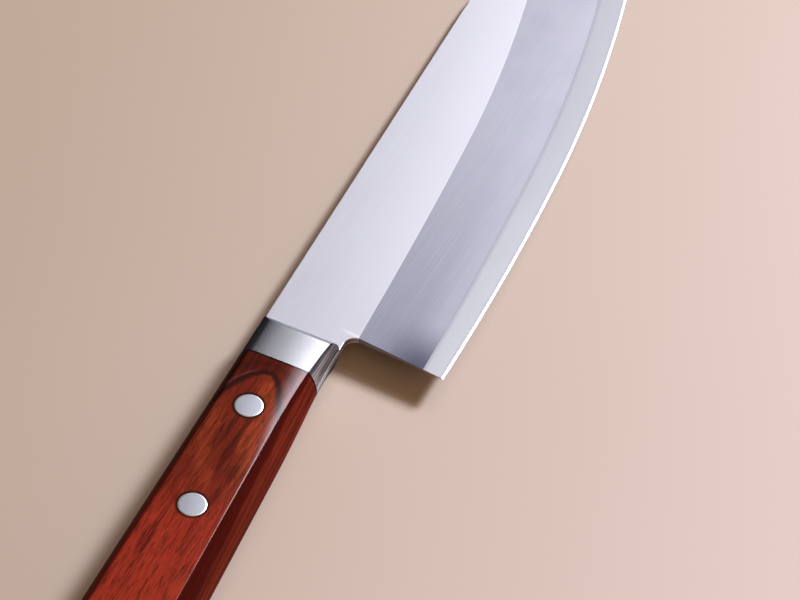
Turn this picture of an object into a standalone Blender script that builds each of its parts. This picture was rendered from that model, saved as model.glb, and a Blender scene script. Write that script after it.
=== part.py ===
"""Santoku kitchen knife: a three-layer blade, a welded bolster and a riveted wooden handle.

The knife is drawn in its own directions. X runs from the handle to the tip and Y from the edge to the spine,
both with 0 at the heel corner. Z runs across the blade, with 0 in its middle plane and the right side up. An
empty then lays the whole knife down the way it rests: on the front of its bolster and the end of its blade.
"""

import math

import bmesh
import bpy
import numpy as np

MM = 0.001

# Blade outline
BLADE_LENGTH = 165 * MM
BLADE_HEIGHT = 46.2 * MM
TIP_HEIGHT = 17.3 * MM
SPINE_BEND_AT = 112 * MM
EDGE_LOWEST_AT = 25 * MM
EDGE_HEEL_RADIUS = 833 * MM
EDGE_BELLY_AT = 70 * MM
HEEL_LEAN = math.radians(4.2)
NECK_DEPTH = 20.5 * MM
NECK_LENGTH = 3.9 * MM
CHOIL_RADIUS = 2.9 * MM

# Blade section
BLADE_THICKNESS = 1.8 * MM
CORE_THICKNESS = 0.67 * MM
BEVEL_WIDTH = 24.9 * MM
BEVEL_WIDTH_HEEL = 23.2 * MM
BEVEL_SETTLES_AT = 75 * MM
EDGE_BEVEL_WIDTH = 0.5 * MM
BEHIND_EDGE = 0.30 * MM
BEHIND_EDGE_HEEL = 0.38 * MM
EASED_EDGE = 0.15 * MM

# Bolster
BOLSTER_LENGTH = 13.2 * MM
SHOULDER_RADIUS = 6 * MM

# Handle, with depths measured down from the line of the spine
HANDLE_LENGTH = 106 * MM
THICKNESS_FRONT = 12.2 * MM
THICKNESS_REAR = 15.5 * MM
TAPER_LENGTH = 88 * MM
CORNER_DEPTH_AT_WAIST = 18.4 * MM
WAIST_BEHIND_BOLSTER = 6.9 * MM
WAIST_RADIUS_FRONT = 160 * MM
WAIST_RADIUS_REAR = 350 * MM
BELLY_SLOPE = 0.045
BEAK_LENGTH = 22 * MM
BEAK_RADIUS = 130 * MM
BELLY_BULGE = 2.3 * MM
BELLY_FLARE = 1.5 * MM
BELLY_FLARE_LENGTH = 25 * MM
BELLY_BULGE_BUTT = 4.9 * MM
BACK_CORNER_RADIUS = 2.5 * MM
BUTT_BACK_RADIUS = 11 * MM
BUTT_BELLY_RADIUS = 7 * MM

# Tang and rivets
TANG_DEPTH = 16.7 * MM
TANG_DEPTH_BUTT = 17.7 * MM
RIVETS_BEHIND_BOLSTER = (15.8 * MM, 48.2 * MM, 83.5 * MM)
RIVET_DEPTH = 10.5 * MM
RIVET_LINE_SLOPE = 0.046
RIVET_HEAD_DIAMETER = 7 * MM
RIVET_HEAD_THICKNESS = 1.4 * MM
RIVET_TUBE_DIAMETER = 4 * MM
RIVET_PIN_DIAMETER = 2.5 * MM
RIVET_GRIP = 3 * MM

# Clearances
LAYER_GAP = 0.01 * MM
WELD_GAP = 0.02 * MM
GLUE_GAP = 0.1 * MM
HEAD_GAP = 0.12 * MM
RIVET_GAP = 0.05 * MM

# Fineness of the meshes, and how far cutters reach past what they cut
ARC_STEP = math.radians(9)
CHORD = 5 * MM
RIM_STEPS = 6
ROUND_SIDES = 40
SMALL_STEP = 0.1 * MM
STOCK = 1 * MM
PAST = 6 * MM
SHARP_ANGLE = math.radians(28)

# Places that follow from the sizes above
SPINE = BLADE_HEIGHT
TIP = np.array((BLADE_LENGTH, TIP_HEIGHT))
BOLSTER_FRONT = -NECK_LENGTH
BOLSTER_REAR = BOLSTER_FRONT - BOLSTER_LENGTH
WOOD_FRONT = BOLSTER_REAR - GLUE_GAP
BUTT = WOOD_FRONT - HANDLE_LENGTH
TAPER_END = BOLSTER_FRONT - TAPER_LENGTH
TAPER_SLOPE = (THICKNESS_REAR - THICKNESS_FRONT) / 2 / TAPER_LENGTH


def arc(centre, radius, start, end):
    """Points of an arc from one angle to another, close enough together in angle and in length."""
    sweep = abs(end - start)
    steps = max(math.ceil(sweep / ARC_STEP), math.ceil(sweep * radius / CHORD), 1)
    angles = np.linspace(start, end, steps + 1)
    return np.asarray(centre) + radius * np.stack([np.cos(angles), np.sin(angles)], axis=1)


def tangent_arc(start, heading, end, past=0.0):
    """Points of the arc that leaves start along heading and runs through end, and on past it by a length."""
    chord = np.subtract(end, start)
    across = np.array((-heading[1], heading[0]))
    turn = 2 * math.atan2(chord @ across, chord @ heading)
    radius = np.linalg.norm(chord) / (2 * math.sin(turn / 2))
    steps = max(math.ceil(abs(turn * radius) / CHORD), math.ceil(abs(turn) / ARC_STEP))
    turns = np.linspace(0, turn, steps + 1)
    if past:
        turns = np.append(turns, turn + past / radius)
    return start + radius * (np.outer(np.sin(turns), heading) + np.outer(1 - np.cos(turns), across))


def rounded_corner(before, corner, after, radius):
    """Points of the fillet that replaces a corner between two straight lines."""
    first = np.subtract(before, corner) / np.linalg.norm(np.subtract(before, corner))
    second = np.subtract(after, corner) / np.linalg.norm(np.subtract(after, corner))
    half = math.acos(first @ second) / 2
    reach = radius / math.tan(half)
    middle = (first + second) / np.linalg.norm(first + second)
    centre = corner + middle * radius / math.sin(half)
    ends = [corner + first * reach - centre, corner + second * reach - centre]
    start, end = (math.atan2(side[1], side[0]) for side in ends)
    turn = (end - start + math.pi) % (2 * math.pi) - math.pi
    return arc(centre, radius, start, start + turn)


def edge_line():
    """The cutting edge from the heel corner: a long flat arc, then a tighter one up to the tip."""
    lowest = -math.asin(EDGE_LOWEST_AT / EDGE_HEEL_RADIUS)
    turn_at = math.asin((EDGE_BELLY_AT - EDGE_LOWEST_AT) / EDGE_HEEL_RADIUS)
    dip = EDGE_HEEL_RADIUS * (1 - math.cos(lowest))
    quarter = math.pi / 2
    centre = (EDGE_LOWEST_AT, EDGE_HEEL_RADIUS - dip)
    flat = arc(centre, EDGE_HEEL_RADIUS, lowest - quarter, turn_at - quarter)
    belly = tangent_arc(flat[-1], np.array((math.cos(turn_at), math.sin(turn_at))), TIP)
    return np.concatenate([flat, belly[1:]])


def spine_line():
    """The spine from where it bends down to the tip, and a little past the tip."""
    return tangent_arc(np.array((SPINE_BEND_AT, SPINE)), np.array((1.0, 0.0)), TIP, past=STOCK)


def corner_line(x):
    """Y of the crisp corner between the handle's flat and its belly: a waist, a slope and a beak."""
    waist = BOLSTER_REAR - WAIST_BEHIND_BOLSTER
    ahead = np.maximum(x - waist, 0)
    behind = np.maximum(waist - x, 0)
    curved = np.minimum(behind, BELLY_SLOPE * WAIST_RADIUS_REAR)
    drop = ahead**2 / (2 * WAIST_RADIUS_FRONT) + curved**2 / (2 * WAIST_RADIUS_REAR)
    drop = drop + BELLY_SLOPE * (behind - curved)
    beak = np.maximum(BUTT + BEAK_LENGTH - x, 0)
    return SPINE - CORNER_DEPTH_AT_WAIST - drop - beak**2 / (2 * BEAK_RADIUS)


def belly_bulge(x):
    """How far the belly bulges past its corners: less and less towards the neck, where it meets the blade.

    Behind the bolster the wood flares out over a short length, and from there the bulge grows evenly.
    """
    at_neck = corner_line(BOLSTER_FRONT) - (SPINE - NECK_DEPTH)
    places = (BUTT, BOLSTER_REAR, BOLSTER_FRONT)
    even = np.interp(x, places, (BELLY_BULGE_BUTT - BELLY_FLARE, BELLY_BULGE, at_neck))
    share = np.clip((BOLSTER_REAR - x) / BELLY_FLARE_LENGTH, 0, 1)
    return even + BELLY_FLARE * share * (2 - share)


def belly_line(x):
    """Y of the belly in the middle plane, where it bulges most."""
    return corner_line(x) - belly_bulge(x)


def thickness(x):
    """Thickness of the handle and bolster: it grows evenly away from the blade, then stays."""
    return THICKNESS_REAR - 2 * TAPER_SLOPE * np.maximum(x - TAPER_END, 0)


def tang_bottom(x):
    """Y of the tang's lower side, hidden in the wood."""
    share = (BOLSTER_REAR - x) / (BOLSTER_REAR - BUTT)
    return SPINE - TANG_DEPTH - (TANG_DEPTH_BUTT - TANG_DEPTH) * share


def butt_line():
    """The end of the handle in the middle plane, from the back round to the belly."""
    back = np.array((BUTT, SPINE))
    belly = np.array((BUTT, belly_line(BUTT)))
    inner = BUTT + BUTT_BELLY_RADIUS
    ahead = np.array((inner, belly_line(inner)))
    first = rounded_corner((0, SPINE), back, belly, BUTT_BACK_RADIUS)
    return np.concatenate([first, rounded_corner(back, belly, ahead, BUTT_BELLY_RADIUS)])


def back_rim(thick):
    """(inset, height) from the middle plane to the flat: a round back with its corners softened."""
    crown = thick / math.sqrt(2)
    half = thick / 2
    flat_part = half - BACK_CORNER_RADIUS
    inset = crown - math.sqrt((crown - BACK_CORNER_RADIUS) ** 2 - flat_part**2)
    join = math.asin(flat_part / (crown - BACK_CORNER_RADIUS))
    low = np.linspace(0, join, RIM_STEPS + 1)
    high = np.linspace(join, math.pi / 2, RIM_STEPS + 1)[1:]
    insets = [crown * (1 - np.cos(low)), inset - BACK_CORNER_RADIUS * np.cos(high)]
    heights = [crown * np.sin(low), flat_part + BACK_CORNER_RADIUS * np.sin(high)]
    return np.stack([np.concatenate(insets), np.concatenate(heights)], axis=1)


def belly_rim(thick, bulge):
    """(inset, height) from the middle plane to the crisp corner: one arc as deep as the bulge."""
    half = thick / 2
    radius = (half**2 + bulge**2) / (2 * bulge)
    angles = np.linspace(0, math.asin(half / radius), 2 * RIM_STEPS + 1)
    return np.stack([radius * (1 - np.cos(angles)), radius * np.sin(angles)], axis=1)


def mesh_object(name, points, faces):
    """A closed mesh under the knife's empty, with its faces turned outward."""
    mesh = bpy.data.meshes.new(name)
    mesh.from_pydata([tuple(map(float, point)) for point in points], [], faces)
    shape = bmesh.new()
    shape.from_mesh(mesh)
    bmesh.ops.recalc_face_normals(shape, faces=shape.faces)
    shape.to_mesh(mesh)
    shape.free()
    obj = bpy.data.objects.new(name, mesh)
    bpy.context.scene.collection.objects.link(obj)
    return obj


def loft(name, rings):
    """A solid through closed rings of points, capped at both ends."""
    rings = np.asarray(rings)
    count, size = rings.shape[:2]
    faces = [tuple(range(size)), tuple(range((count - 1) * size, count * size))]
    for ring in range(count - 1):
        for corner in range(size):
            after = (corner + 1) % size
            low, high = ring * size, (ring + 1) * size
            faces.append((low + corner, low + after, high + after, high + corner))
    return mesh_object(name, rings.reshape(-1, 3), faces)


def plate(name, outline, low, high):
    """An outline in X and Y, with straight walls between two heights."""
    rings = [np.column_stack([outline, np.full(len(outline), z)]) for z in (low, high)]
    return loft(name, rings)


def cylinder(name, centre, radius, low, high):
    """A round bar across the blade, between two heights."""
    angles = np.linspace(0, 2 * math.pi, ROUND_SIDES, endpoint=False)
    circle = np.asarray(centre) + radius * np.stack([np.cos(angles), np.sin(angles)], axis=1)
    return plate(name, circle, low, high)


def boolean(obj, tool, operation):
    """Cuts, joins or intersects with a tool, and then deletes the tool."""
    modifier = obj.modifiers.new(operation.title(), "BOOLEAN")
    modifier.operation = operation
    modifier.object = tool
    tool.hide_render = True
    tool.display_type = "WIRE"
    graph = bpy.context.evaluated_depsgraph_get()
    result = bpy.data.meshes.new_from_object(obj.evaluated_get(graph))
    obj.modifiers.clear()
    obj.data = result
    bpy.data.objects.remove(tool)


def settled(x, at_heel, value):
    """A size that differs at the heel and eases into its usual value along the blade."""
    share = min(max(x / BEVEL_SETTLES_AT, 0), 1)
    return at_heel + (value - at_heel) * share * (2 - share)


def ground_shape():
    """The wedge that the wheels leave, through sections square to the edge.

    Each section runs from the edge out to the narrow cutting bevel, and from there in a straight line through
    the ridge and on above the flat, so that it cuts nothing there. Behind the heel it is a plain thick bar.
    """
    line = edge_line()
    line = np.concatenate([line, [2 * line[-1] - line[-2]]])
    along = np.gradient(line, axis=0)
    along /= np.linalg.norm(along, axis=1)[:, None]
    inward = np.stack([-along[:, 1], along[:, 0]], axis=1)
    above = BLADE_HEIGHT + PAST
    full = BLADE_THICKNESS
    rings = []
    for x in (BUTT - PAST, -STOCK):
        side = [(x, -STOCK, full), (x, 0, full), (x, above, full)]
        rings.append([(x, -2 * STOCK, 0), *side, *[(a, b, -c) for a, b, c in side[::-1]]])
    for point, direction in zip(line, inward):
        width = settled(point[0], BEVEL_WIDTH_HEEL, BEVEL_WIDTH)
        behind = settled(point[0], BEHIND_EDGE_HEEL, BEHIND_EDGE) / 2
        slope = (BLADE_THICKNESS / 2 - behind) / (width - EDGE_BEVEL_WIDTH)
        top = BLADE_THICKNESS / 2 + slope * PAST
        side = [(EDGE_BEVEL_WIDTH, behind), (width + PAST, top), (above, top)]
        section = [(0, 0), *side, *[(away, -height) for away, height in side[::-1]]]
        rings.append([(*(point + direction * away), height) for away, height in section])
    return loft("ground_shape", rings)


def blank_outline():
    """Outline of the blade with its neck, bolster part and tang, before grinding, counter-clockwise."""
    edge = edge_line()
    along = np.gradient(edge, axis=0)
    along /= np.linalg.norm(along, axis=1)[:, None]
    stock = edge + STOCK * np.stack([along[:, 1], -along[:, 0]], axis=1)
    heel_up = np.array((math.sin(HEEL_LEAN), math.cos(HEEL_LEAN)))
    neck = SPINE - NECK_DEPTH
    choil_corner = heel_up * neck / heel_up[1]
    neck_start = np.array((BOLSTER_FRONT, neck))
    choil = rounded_corner(neck_start, choil_corner, np.zeros(2), CHOIL_RADIUS)
    bolster_x = np.linspace(BOLSTER_REAR, BOLSTER_FRONT, 4)[:-1]
    butt = butt_line()
    above = butt[:, 1] > tang_bottom(butt[:, 0])
    pieces = [
        [-STOCK * heel_up],
        stock[1:-1],
        spine_line()[::-1],
        butt[above],
        [(BUTT, tang_bottom(BUTT)), (BOLSTER_REAR, tang_bottom(BOLSTER_REAR))],
        np.stack([bolster_x, belly_line(bolster_x)], axis=1),
        [neck_start],
        choil,
    ]
    return np.concatenate(pieces)


def rivet_centres():
    """Centres of the rivets, from the bolster to the butt, on a line that sinks a little."""
    behind = np.array(RIVETS_BEHIND_BOLSTER)
    y = SPINE - RIVET_DEPTH - RIVET_LINE_SLOPE * (behind - behind[0])
    return np.stack([BOLSTER_REAR - behind, y], axis=1)


def drill(obj, radius, low, high):
    """The same hole at each rivet."""
    for centre in rivet_centres():
        boolean(obj, cylinder("drill", centre, radius, low, high), "DIFFERENCE")


def ease_outline(obj, height):
    """A small round along the outer rim of a layer, ahead of the bolster."""
    shape = bmesh.new()
    shape.from_mesh(obj.data)
    rim = [
        edge
        for edge in shape.edges
        if all(abs(vert.co.z - height) < LAYER_GAP / 10 for vert in edge.verts)
        and all(vert.co.x > BOLSTER_FRONT + EASED_EDGE for vert in edge.verts)
    ]
    bmesh.ops.bevel(shape, geom=rim, offset=EASED_EDGE, segments=2, profile=0.5, affect="EDGES")
    shape.to_mesh(obj.data)
    shape.free()


def blade_layer(name, low, high):
    """One layer of the blade: cut from sheet, ground, and drilled for the rivets."""
    layer = plate(name, blank_outline(), low, high)
    if low * high > 0:
        ease_outline(layer, high if high > 0 else low)
    boolean(layer, ground_shape(), "INTERSECT")
    drill(layer, RIVET_TUBE_DIAMETER / 2 + RIVET_GAP, -BLADE_THICKNESS, BLADE_THICKNESS)
    return layer


def make_blade():
    """The hard core and the two soft layers that clad it."""
    inner = CORE_THICKNESS / 2
    outer = BLADE_THICKNESS / 2
    core = blade_layer("blade_core", -inner, inner)
    right = blade_layer("cladding_right", inner + LAYER_GAP, outer)
    left = blade_layer("cladding_left", -outer, -inner - LAYER_GAP)
    return [core, right, left]


def grip_outline(front, rear):
    """Outline of the handle and bolster in the middle plane, along the back and home along the belly.

    With each point come the direction in which its rim leans in, and how far that rim is of the belly's kind.
    The outline ends straight at rear, or goes round the butt where rear is None. There the rim turns from the
    back's kind to the belly's, most of it near the belly.
    """
    last = BUTT + max(BUTT_BACK_RADIUS, BUTT_BELLY_RADIUS) if rear is None else rear
    stops = [front, *[x for x in (TAPER_END,) if last < x < front], last]
    spans = [np.linspace(a, b, math.ceil((a - b) / CHORD) + 1)[:-1] for a, b in zip(stops, stops[1:])]
    x = np.append(np.concatenate(spans), last)
    back = np.stack([x, np.full(len(x), SPINE)], axis=1)
    belly = np.stack([x, belly_line(x)], axis=1)[::-1]
    butt = butt_line() if rear is None else np.empty((0, 2))
    butt = butt[butt[:, 0] < last - SMALL_STEP]
    outline = np.concatenate([back, butt, belly])
    along = np.gradient(outline, axis=0)
    along /= np.linalg.norm(along, axis=1)[:, None]
    inward = np.stack([-along[:, 1], along[:, 0]], axis=1)
    inward[: len(x)] = (0, -1)
    inward[-len(x) :] = (0, 1)
    share = (SPINE - outline[:, 1]) / (SPINE - belly_line(BUTT))
    share = np.clip(share, 0, 1) ** 3
    share[: len(x)] = 0
    share[-len(x) :] = 1
    return outline, inward, share, len(x)


def grip_solid(name, front, rear=None):
    """The body that the handle and bolster are ground from, between two places or to the butt.

    Each point of its outline has a column of points from the lower flat round the rim to the upper flat: a round
    back and butt, and a bulging belly with a crisp corner on each side.
    """
    outline, inward, share, straight = grip_outline(front, rear)
    columns = []
    for point, direction, part in zip(outline, inward, share):
        thick = float(thickness(point[0]))
        rim = (1 - part) * back_rim(thick) + part * belly_rim(thick, float(belly_bulge(point[0])))
        rim = np.concatenate([rim[:0:-1] * (1, -1), rim])
        columns.append([(*(point + direction * inset), height) for inset, height in rim])
    columns = np.asarray(columns)
    count, levels = columns.shape[:2]
    index = np.arange(count * levels).reshape(count, levels).tolist()
    faces = [(*index[0], *index[-1][::-1])]
    for here, after in zip(index, index[1:]):
        faces += [(here[k], after[k], after[k + 1], here[k + 1]) for k in range(levels - 1)]
    for level in (0, -1):
        flat = [column[level] for column in index]
        for i in range(straight - 1):
            faces.append((flat[i], flat[i + 1], flat[-i - 2], flat[-i - 1]))
        if rear is None:
            faces.append(tuple(flat[straight - 1 : count - straight + 1]))
    return mesh_object(name, columns.reshape(-1, 3), faces)


def bolster_cheek(name, side):
    """Half of the bolster: the grip's section, cut to a side view that rolls down to the blade in front."""
    low = BLADE_THICKNESS / 2 + WELD_GAP
    roll = arc((BOLSTER_FRONT - SHOULDER_RADIUS, low), SHOULDER_RADIUS, 0, math.radians(80))
    rear = BOLSTER_REAR - PAST
    side_view = np.concatenate([roll, [(rear, roll[-1][1] + PAST), (rear, low)]])
    ends = (SPINE + PAST, belly_line(BOLSTER_FRONT) - PAST)
    rings = [[(x, y, side * z) for x, z in side_view] for y in ends]
    cheek = grip_solid(name, BOLSTER_FRONT + PAST, BOLSTER_REAR)
    boolean(cheek, loft("side_view", rings), "INTERSECT")
    return cheek


def make_bolster():
    """The two cheeks welded to the blade."""
    return [bolster_cheek("bolster_right", 1), bolster_cheek("bolster_left", -1)]


def head_seat(centre):
    """Height of the floor under a rivet's head, deep enough for the head where the handle is thinner."""
    return float(thickness(centre[0] + RIVET_HEAD_DIAMETER / 2)) / 2 - RIVET_HEAD_THICKNESS


def make_handle():
    """The wooden block, slotted from the back for the tang, with its rivet holes and their counterbores."""
    handle = grip_solid("handle_wood", WOOD_FRONT)
    x = np.array((WOOD_FRONT + PAST, BUTT - PAST))
    bottom = tang_bottom(x) - GLUE_GAP
    slot = [(x[0], SPINE + PAST), (x[1], SPINE + PAST), (x[1], bottom[1]), (x[0], bottom[0])]
    half = BLADE_THICKNESS / 2 + GLUE_GAP
    boolean(handle, plate("slot", np.array(slot), -half, half), "DIFFERENCE")
    top = THICKNESS_REAR
    drill(handle, RIVET_TUBE_DIAMETER / 2 + RIVET_GAP, -top, top)
    for centre in rivet_centres():
        seat = head_seat(centre) - RIVET_GAP
        for low, high in ((seat, top), (-top, -seat)):
            bore = cylinder("counterbore", centre, RIVET_HEAD_DIAMETER / 2 + HEAD_GAP, low, high)
            boolean(handle, bore, "DIFFERENCE")
    return [handle]


def rivet_tube(name, centre):
    """The outer half of a rivet: a head flush with the right side, and a tube down through the tang."""
    seat = head_seat(centre)
    end = -BLADE_THICKNESS / 2 - RIVET_GRIP
    tube = cylinder(name, centre, RIVET_HEAD_DIAMETER / 2, seat, THICKNESS_REAR)
    boolean(tube, cylinder("shank", centre, RIVET_TUBE_DIAMETER / 2, end, seat + RIVET_GAP), "UNION")
    bore = cylinder("bore", centre, RIVET_PIN_DIAMETER / 2 + RIVET_GAP, end - PAST, seat)
    boolean(tube, bore, "DIFFERENCE")
    boolean(tube, grip_solid("flush", WOOD_FRONT), "INTERSECT")
    return tube


def rivet_pin(name, centre):
    """The inner half of a rivet: a head flush with the left side, and a pin up into the tube."""
    seat = -head_seat(centre)
    end = BLADE_THICKNESS / 2 + RIVET_GRIP
    pin = cylinder(name, centre, RIVET_HEAD_DIAMETER / 2, -THICKNESS_REAR, seat)
    boolean(pin, cylinder("shank", centre, RIVET_PIN_DIAMETER / 2, seat - RIVET_GAP, end), "UNION")
    boolean(pin, grip_solid("flush", WOOD_FRONT), "INTERSECT")
    return pin


def make_rivets():
    """A tube half and a pin half at each rivet."""
    pieces = []
    for place, centre in zip(("front", "middle", "rear"), rivet_centres()):
        pieces.append(rivet_tube("rivet_tube_" + place, centre))
        pieces.append(rivet_pin("rivet_pin_" + place, centre))
    return pieces


def make_material(name, colour, roughness, metallic):
    """One Principled material."""
    material = bpy.data.materials.new(name)
    material.use_nodes = True
    shader = material.node_tree.nodes["Principled BSDF"]
    shader.inputs["Base Color"].default_value = (*colour, 1)
    shader.inputs["Roughness"].default_value = roughness
    shader.inputs["Metallic"].default_value = metallic
    return material


def paint(pieces, material):
    """The same material on each piece, with its round faces shaded smooth and its corners kept."""
    for piece in pieces:
        piece.data.materials.clear()
        piece.data.materials.append(material)
        piece.data.shade_smooth()
        piece.data.set_sharp_from_angle(angle=SHARP_ANGLE)


def resting_slope(points):
    """Slope of the ground under the knife: it touches the underside on both sides of the bolster's front."""
    ahead = points[points[:, 0] > BOLSTER_FRONT]
    behind = points[points[:, 0] < BOLSTER_FRONT]
    rise = ahead[:, None, 2] - behind[None, :, 2]
    run = ahead[:, None, 0] - behind[None, :, 0]
    return (rise / run).min(axis=0).max()


def lay_down(pieces):
    """Hangs the pieces on one empty, lays the knife on the ground and centres it over the origin."""
    knife = bpy.data.objects.new("santoku_knife", None)
    bpy.context.scene.collection.objects.link(knife)
    for piece in pieces:
        piece.parent = knife
    points = np.array([vert.co for piece in pieces for vert in piece.data.vertices])
    turn = math.atan(resting_slope(points))
    knife.rotation_euler.y = turn
    x = points[:, 0] * math.cos(turn) + points[:, 2] * math.sin(turn)
    z = points[:, 2] * math.cos(turn) - points[:, 0] * math.sin(turn)
    y = points[:, 1]
    knife.location = (-(x.min() + x.max()) / 2, -(y.min() + y.max()) / 2, -z.min())


def main():
    for obj in list(bpy.data.objects):
        bpy.data.objects.remove(obj)
    core, *claddings = make_blade()
    bolster = make_bolster()
    handle = make_handle()
    rivets = make_rivets()
    paint([core], make_material("core_steel", (0.66, 0.66, 0.71), 0.28, 1.0))
    paint(claddings, make_material("cladding_steel", (0.72, 0.71, 0.77), 0.38, 1.0))
    paint(bolster, make_material("bolster_steel", (0.78, 0.78, 0.82), 0.12, 1.0))
    paint(handle, make_material("handle_wood", (0.20, 0.026, 0.014), 0.25, 0.0))
    paint(rivets, make_material("rivet_steel", (0.66, 0.65, 0.69), 0.35, 1.0))
    lay_down([core, *claddings, *bolster, *handle, *rivets])


main()
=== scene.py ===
"""The looks of the santoku knife: its ground and polished steels and its riveted red wood.

Shapes are worked out in the knife's own directions, in metres: X from the handle to the tip and Y from the
edge to the spine, both with 0 at the heel corner, and Z across the blade from its middle plane. Each mesh is
laid on the table the way the CAD model lies.
"""

import math

import bmesh
import bpy
import numpy as np
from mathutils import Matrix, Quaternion, Vector


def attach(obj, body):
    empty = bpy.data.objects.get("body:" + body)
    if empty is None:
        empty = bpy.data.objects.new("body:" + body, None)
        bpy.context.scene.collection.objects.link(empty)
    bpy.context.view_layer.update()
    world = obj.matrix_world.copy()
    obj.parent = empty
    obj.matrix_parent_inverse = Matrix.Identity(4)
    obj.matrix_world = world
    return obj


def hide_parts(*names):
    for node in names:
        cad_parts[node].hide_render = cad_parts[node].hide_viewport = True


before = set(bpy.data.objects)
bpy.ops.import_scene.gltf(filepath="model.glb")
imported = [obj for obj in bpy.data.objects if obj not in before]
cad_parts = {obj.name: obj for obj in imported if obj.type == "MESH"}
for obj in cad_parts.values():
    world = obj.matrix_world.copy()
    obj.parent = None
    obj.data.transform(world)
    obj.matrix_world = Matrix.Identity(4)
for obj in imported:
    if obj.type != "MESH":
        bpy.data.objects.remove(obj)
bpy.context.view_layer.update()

MM = 0.001

# Blade outline
BLADE_HEIGHT = 46.2 * MM
TIP = np.array((165 * MM, 17.3 * MM))
SPINE_BEND_AT = 112 * MM
EDGE_LOWEST_AT = 25 * MM
EDGE_HEEL_RADIUS = 833 * MM
EDGE_BELLY_AT = 70 * MM
HEEL_LEAN = math.radians(4.2)
HEEL_LEAN_FADES_AT = 8 * MM
NECK_DEPTH = 20.5 * MM
NECK_LENGTH = 3.9 * MM
CHOIL_RADIUS = 2.9 * MM

# Blade section
BLADE_THICKNESS = 1.8 * MM
CORE_THICKNESS = 0.67 * MM
LAYER_GAP = 0.01 * MM
BEVEL_WIDTH = 24.9 * MM
BEVEL_WIDTH_HEEL = 23.2 * MM
BEVEL_SETTLES_AT = 75 * MM
EDGE_BEVEL_WIDTH = 0.5 * MM
BEHIND_EDGE = 0.30 * MM
BEHIND_EDGE_HEEL = 0.38 * MM
HONED_EDGE = 0.01 * MM
FEATHER_EDGE = 0.004 * MM
EASED_EDGE = 0.22 * MM
EASED_FROM_CLAD = 9 * MM
EASED_BEHIND_HEEL = 0.9 * MM

# Bolster
BOLSTER_LENGTH = 13.2 * MM
SHOULDER_RADIUS = 6 * MM
SHOULDER_BLEND = 0.25 * MM
WELD_GAP = 0.02 * MM

# Handle, with depths measured down from the line of the spine
HANDLE_LENGTH = 106 * MM
THICKNESS_FRONT = 12.2 * MM
THICKNESS_REAR = 15.5 * MM
TAPER_LENGTH = 88 * MM
CORNER_DEPTH_AT_WAIST = 18.4 * MM
WAIST_BEHIND_BOLSTER = 6.9 * MM
WAIST_RADIUS_FRONT = 160 * MM
WAIST_RADIUS_REAR = 350 * MM
BELLY_SLOPE = 0.045
BEAK_LENGTH = 22 * MM
BEAK_RADIUS = 130 * MM
BELLY_BULGE = 2.3 * MM
BELLY_FLARE = 1.5 * MM
BELLY_FLARE_LENGTH = 25 * MM
BELLY_BULGE_BUTT = 4.9 * MM
BACK_CORNER_RADIUS = 2.5 * MM
BUTT_BACK_RADIUS = 11 * MM
BUTT_BELLY_RADIUS = 7 * MM
GLUE_GAP = 0.1 * MM
TANG_DEPTH = 16.7 * MM
TANG_DEPTH_BUTT = 17.7 * MM
ARRIS_ROUND = 0.22 * MM
FACE_CROWN = 0.14 * MM
CROWN_WIDTH = 15 * MM

# Rivets
RIVETS_BEHIND_BOLSTER = np.array((15.8, 48.2, 83.5)) * MM
RIVET_DEPTH = 10.5 * MM
RIVET_LINE_SLOPE = 0.046
RIVET_HEAD_RADIUS = 3.5 * MM
RIVET_HEAD_THICKNESS = 1.4 * MM
RIVET_TUBE_RADIUS = 2 * MM
RIVET_PIN_RADIUS = 1.25 * MM
RIVET_GRIP = 3 * MM
RIVET_GAP = 0.05 * MM
HEAD_GAP = 0.12 * MM
HEAD_DOME = 0.03 * MM
HEAD_CHAMFER = 0.18 * MM
HEAD_RINGS = 9

# Fineness of the grids, and how far cutters reach past what they cut
EDGE_STATIONS = 140
RIM_LEVELS = 17
FACE_ROWS = 14
HANDLE_COLUMNS = 90
BUTT_COLUMNS = 30
TANG_COLUMNS = 30
CHOIL_STATIONS = 15
SHORT_COLUMNS = 14
LEAD_COLUMNS = 5
SHOULDER_SECTIONS = 34
SEARCH_STATIONS = 4000
ROUND_SEGMENTS = 3
ROUND_SIDES = 96
PAST = 6 * MM
MERGED_WITHIN = 0.0005 * MM
ROUNDED_BELOW = math.radians(28)

# How the crown fades over the shoulder, and how the rim at the butt turns from the back's kind to the belly's
CROWN_FADE = 4
KIND_POWER = 3
KIND_COLUMNS = BUTT_COLUMNS / 3

# Top of the arch that the growth rings close in, and how open it is, in millimetres
ARCH_TOP = (-21.8, 35.8)
ARCH_OPENING = 5.6

# Places that follow from the sizes above
SPINE = BLADE_HEIGHT
NECK = SPINE - NECK_DEPTH
BOLSTER_FRONT = -NECK_LENGTH
BOLSTER_REAR = BOLSTER_FRONT - BOLSTER_LENGTH
WOOD_FRONT = BOLSTER_REAR - GLUE_GAP
BUTT = WOOD_FRONT - HANDLE_LENGTH
TAPER_END = BOLSTER_FRONT - TAPER_LENGTH
TAPER_SLOPE = (THICKNESS_REAR - THICKNESS_FRONT) / 2 / TAPER_LENGTH
CORE_FACE = CORE_THICKNESS / 2
SHEET_FACE = CORE_FACE + LAYER_GAP
BLADE_FACE = BLADE_THICKNESS / 2
CHEEK_FACE = BLADE_FACE + WELD_GAP
LAST_SECTION = BUTT + BUTT_BACK_RADIUS
HEEL_UP = np.array((math.sin(HEEL_LEAN), math.cos(HEEL_LEAN)))

# How the knife lies on the table
RESTING_TURN = 0.0344671
RESTING_PLACE = np.array((-0.0208721, -0.0229132, 0.0059134))


# ---- shared curves ----


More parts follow.
